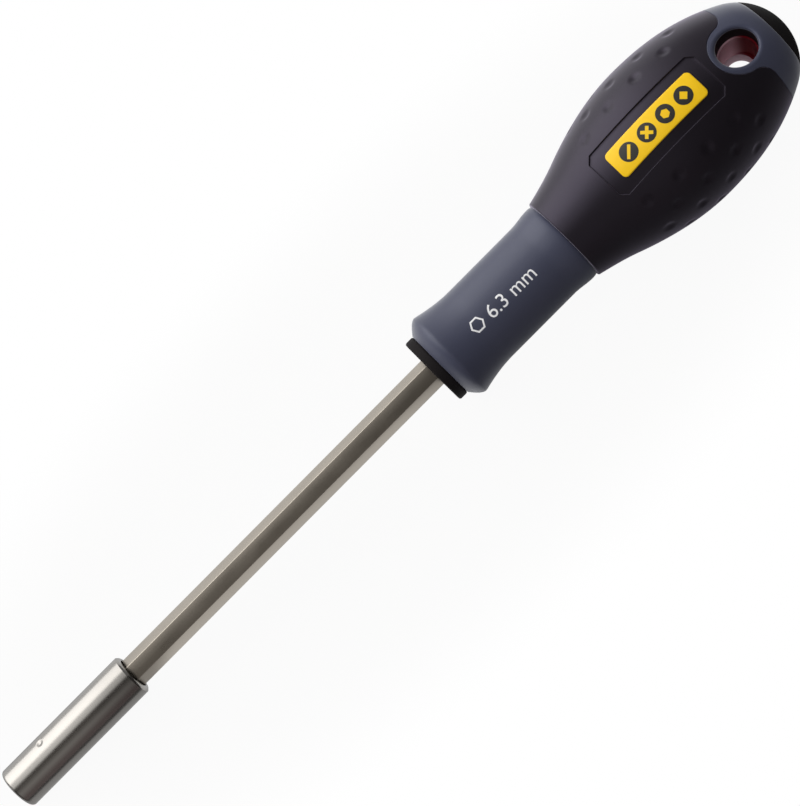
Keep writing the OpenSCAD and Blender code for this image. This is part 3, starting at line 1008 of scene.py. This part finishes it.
def make_saddle():
    front_x = HOLE_X - SADDLE_RING_R - PAST
    rear = [(CAP_X + on, handle_r(CAP_X) - down) for on, down in SADDLE_EDGE]
    outer = handle_line(front_x, CAP_X - SADDLE_EDGE_L, 0.3)
    inner = handle_line(CAP_X, front_x, 1.2, SOFT_WALL)
    saddle = turned("saddle", outer + rear + inner + outer[:1], FINE_SIDES)
    combine(saddle, saddle_block(), "INTERSECT")
    combine(saddle, seam_tool())
    combine(saddle, lip_tool())
    combine(saddle, turn_over(lip_tool()))
    smooth(saddle, 40)
    fit(saddle, GREY_SOFT, "grey_soft", "hang_saddle")


def make_cap():
    low_x = CAP_X - CAP_SPIGOT_L
    rim = math.degrees(math.acos((CAP_X + CAP_EDGE_L - DOME_X) / DOME_R))
    dome = arc(DOME_X, 0, DOME_R, rim, 0, 40)
    spigot = [(low_x, 0), (low_x, CAP_SPIGOT_R), (CAP_X, CAP_SPIGOT_R)]
    edge = [(CAP_X + on, handle_r(CAP_X) - down) for on, down in CAP_EDGE]
    cap = turned("cap", spigot + edge + dome[:-1] + [(BUTT_X, 0)], PLAIN_SIDES)
    smooth(cap, 40)
    fit(cap, BLACK_HARD, "black_hard", "butt_cap")


# Badge and size mark


def badge_floor(x):
    """Radius of the panel's floor, which carries the badge."""
    return handle_r(x) - PANEL_DEPTH


def make_badge():
    flat_plan(BADGE_L, BADGE_W, BADGE_CORNER, 8)
    wall = BADGE_T - sum(up for inward, up in BADGE_EDGE)
    bpy.ops.mesh.extrude_region_move(TRANSFORM_OT_translate={"value": (0, 0, wall * MM)})
    for inward, up in BADGE_EDGE:
        bpy.ops.mesh.inset(thickness=inward * MM, depth=up * MM)
    close_mesh()
    badge = slice_up(named("badge_plate"), 0.5, 0.4)
    lay_round(badge, badge_floor)
    smooth(badge, 40)
    fit(badge, finish_of("yellow_plate", yellow_plate), "badge_yellow", "badge")


def drive_tool(kind, x):
    """A block with the plan of a screw's drive, at one place along the badge."""
    clear_bench()
    if kind == "hexagon":
        bpy.ops.mesh.primitive_cylinder_add(vertices=6, radius=HEX_DRIVE_R * MM, depth=DRIVE_H * MM)
        return settle(named("drive"), Matrix.Translation((x * MM, 0, 0)))
    made = None
    for length, width in DRIVE_BARS[kind]:
        clear_bench()
        bpy.ops.mesh.primitive_cube_add(size=MM)
        bpy.ops.object.mode_set(mode="EDIT")
        bpy.ops.transform.resize(value=(length, width, DRIVE_H))
        bar = settle(named("drive"), Matrix.Rotation(math.radians(45), 4, "Z"))
        settle(bar, Matrix.Translation((x * MM, 0, 0)))
        made = bar if made is None else combine(made, bar, "UNION")
    return made


def make_symbols():
    """Four plain screw heads on the badge: slot, cross, hexagon and square."""
    heads = []
    for i, kind in enumerate(("slot", "cross", "hexagon", "square")):
        x = PANEL_X + (i - 1.5) * HEAD_PITCH
        clear_bench()
        bpy.ops.mesh.primitive_cylinder_add(vertices=64, radius=HEAD_R * MM, depth=HEAD_T * MM)
        head = settle(named("head"), Matrix.Translation((x * MM, 0, (BADGE_T + HEAD_LIFT) * MM)))
        combine(head, drive_tool(kind, x))
        slice_up(head, 0.5, 0.4)
        heads.append(lay_round(head, badge_floor))
    clear_bench()
    for head in heads:
        head.select_set(True)
    bpy.context.view_layer.objects.active = heads[0]
    bpy.ops.object.join()
    symbols = smooth(named("badge_symbols"), 40)
    fit(symbols, finish_of("dark_ink", dark_ink), "black_hard")


def make_size_mark():
    """A hexagon and a plain number, printed on the neck's waist."""
    turn = Matrix.Rotation(math.radians(30), 4, "Z")
    clear_bench()
    bpy.ops.mesh.primitive_cylinder_add(vertices=6, radius=MARK_HEX_R * MM, depth=MARK_T * MM)
    outline = settle(named("size_mark"), turn)
    clear_bench()
    bpy.ops.mesh.primitive_cylinder_add(vertices=6, radius=MARK_HEX_HOLE_R * MM, depth=MM)
    combine(outline, settle(named("inside"), turn))
    settle(outline, Matrix.Translation(Vector((*MARK_HEX_AT, 0)) * MM))
    clear_bench()
    bpy.ops.object.text_add()
    number = bpy.context.object
    number.data.body = "6.3 mm"
    number.data.size = MARK_TEXT_SIZE * MM
    number.data.extrude = MARK_T / 2 * MM
    number.data.resolution_u = 8
    bpy.ops.object.convert(target="MESH")
    number = settle(named("number"), Matrix.Translation(Vector((*MARK_TEXT_AT, 0)) * MM))
    take(number)
    outline.select_set(True)
    bpy.context.view_layer.objects.active = outline
    bpy.ops.object.join()
    mark = named("size_mark")
    settle(mark, Matrix.Translation((0, 0, MARK_LIFT * MM)))
    edit(mark)
    close_mesh()
    slice_up(mark, 0.6, 0.4)
    lay_round(mark, neck_r)
    settle(mark, Matrix.Rotation(math.radians(MARK_TURN), 4, "X"))
    fit(smooth(mark, 40), finish_of("white_ink", white_ink), "grey_soft")


# Stage, light and camera


def floor_slope():
    """Slope at which a floor touches both the sleeve's mouth and the handle's belly."""
    places = stations(CREST_X - 16, CREST_X + 14, 0.1)
    return max((handle_r(x) - PANEL_DEPTH - SLEEVE_R) / (x - MOUTH_ROUND) for x in places)


def make_floor():
    """A white floor with a faint shadow, which gloss sees mostly on the left and which lights the hole."""
    slope = floor_slope()
    clear_bench()
    bpy.ops.mesh.primitive_plane_add(size=FLOOR_SIZE)
    floor = named("floor")
    height = (-SLEEVE_R + slope * MOUTH_ROUND) * MM
    turn = Matrix.Rotation(math.atan(slope), 4, "Y")
    settle(floor, Matrix.Translation((0, 0, height)) @ turn)
    material = bpy.data.materials.new("white_floor")
    material.use_nodes = True
    material.node_tree.nodes.clear()
    pen = Wire(material.node_tree)
    seen = pen.node("ShaderNodeLightPath", output="Is Camera Ray")
    glossy = pen.node("ShaderNodeLightPath", output="Is Glossy Ray")
    through = pen.node("ShaderNodeLightPath", output="Is Transmission Ray")
    where = pen.node("ShaderNodeTexCoord", output="Object")
    along = pen.node("ShaderNodeSeparateXYZ", {}, {0: where}, 0)
    across = pen.node("ShaderNodeSeparateXYZ", {}, {0: where}, 1)
    left = across.span(*POOL_LEFT)
    right = across.span(*POOL_RIGHT) * along.span(*POOL_RIGHT_END) * along.span(*POOL_RIGHT_DIM)
    pool = (left + (1 - left) * right) * along.span(*POOL_END)
    level = 1 - glossy * (POOL_DEPTH - pool * POOL_DEPTH)
    white = pen.node("ShaderNodeEmission", {}, {"Strength": level})
    paint = pen.node("ShaderNodeBsdfDiffuse", {}, {"Color": FLOOR_TONE})
    off_x = (along - SHADOW_MIDDLE) / SHADOW_REACH[0]
    off_y = across / SHADOW_REACH[1]
    far = (off_x * off_x + off_y * off_y).span(*SHADOW_FADE)
    bright = (seen + through) * (NEAR_WHITE + far * (1 - NEAR_WHITE)) + glossy
    hole_x = along - HOLE_X * MM
    patch = (hole_x * hole_x + across * across).span(PATCH_OUTER**2, PATCH_INNER**2)
    share = bright + (1 - seen - through - glossy) * patch
    surface = pen.node("ShaderNodeMixShader", {}, {0: share, 1: paint, 2: white})
    pen.node("ShaderNodeOutputMaterial", {}, {"Surface": surface})
    material.cycles.emission_sampling = "NONE"
    floor.data.materials.append(material)


def make_lamp(name, place, target, size, energy, tone):
    """An area lamp of a size in metres and a power in watts, aimed at a target."""
    data = bpy.data.lights.new(name, "AREA")
    data.shape = "RECTANGLE"
    data.size, data.size_y = size
    data.energy = energy
    data.color = tone
    lamp = bpy.data.objects.new(name, data)
    bpy.context.scene.collection.objects.link(lamp)
    lamp.location = place
    lamp.rotation_euler = (Vector(target) - Vector(place)).to_track_quat("-Z", "Y").to_euler()
    return lamp


def make_light():
    """A softbox low on the left and a dim fill overhead, in a room that is bright on the left."""
    warm = (1.0, 0.985, 0.965)
    plain = (1.0, 1.0, 1.0)
    make_lamp("left_softbox", (-0.15, 0.68, 0.26), (0.03, 0, 0), (1.1, 1.1), 7.0, warm)
    fill = make_lamp("overhead_fill", (0.11, -0.08, 0.95), (0.11, 0, 0), (0.6, 0.6), 1.9, plain)
    fill.visible_glossy = False
    world = bpy.data.worlds.new("studio")
    bpy.context.scene.world = world
    world.use_nodes = True
    world.node_tree.nodes.clear()
    pen = Wire(world.node_tree)
    way = pen.node("ShaderNodeTexCoord", output="Generated")
    dot = {"operation": "DOT_PRODUCT"}
    left = pen.node("ShaderNodeVectorMath", dot, {0: way, 1: ROOM_LEFT}, 1)
    over = pen.node("ShaderNodeVectorMath", dot, {0: way, 1: ROOM_OVER}, 1)
    turn = left.sum("ARCTAN2", left, over) / math.pi + 0.5
    stops = [(degrees / 180 + 0.5, tone) for degrees, tone in SKY]
    tone = pen.node("ShaderNodeValToRGB", {"stops": stops}, {0: turn})
    along = pen.node("ShaderNodeSeparateXYZ", {}, {0: way}, 0)
    level = along.span(*ROOM_TIP) * along.span(*ROOM_AHEAD)
    studio = pen.node("ShaderNodeBackground", {}, {"Color": tone, "Strength": level})
    white = pen.node("ShaderNodeBackground", {}, {"Color": (1, 1, 1, 1), "Strength": 1.0})
    seen = pen.node("ShaderNodeLightPath", output="Is Camera Ray")
    through = pen.node("ShaderNodeLightPath", output="Is Transmission Ray")
    surface = pen.node("ShaderNodeMixShader", {}, {0: seen + through, 1: studio, 2: white})
    pen.node("ShaderNodeOutputWorld", {}, {"Surface": surface})


def make_camera():
    data = bpy.data.cameras.new("camera")
    data.sensor_fit = "HORIZONTAL"
    data.sensor_width = SENSOR_W
    data.lens = SENSOR_W * FOCAL_PX / FRAME_W
    data.clip_start = 0.01
    data.clip_end = 100
    camera = bpy.data.objects.new("camera", data)
    bpy.context.scene.collection.objects.link(camera)
    back = -EYE_SIGHT.normalized()
    right = (EYE_RIGHT - back * EYE_RIGHT.dot(back)).normalized()
    up = back.cross(right)
    camera.matrix_world = Matrix.Translation(EYE) @ Matrix((right, up, back)).transposed().to_4x4()
    bpy.context.scene.camera = camera


make_camera()
make_light()
make_floor()
make_bar()
make_sleeve()
make_magnet()
make_ring()
make_collar()
make_neck()
make_core()
make_grip()
make_saddle()
make_cap()
make_badge()
make_symbols()
make_size_mark()
bpy.context.scene.view_settings.view_transform = "Standard"
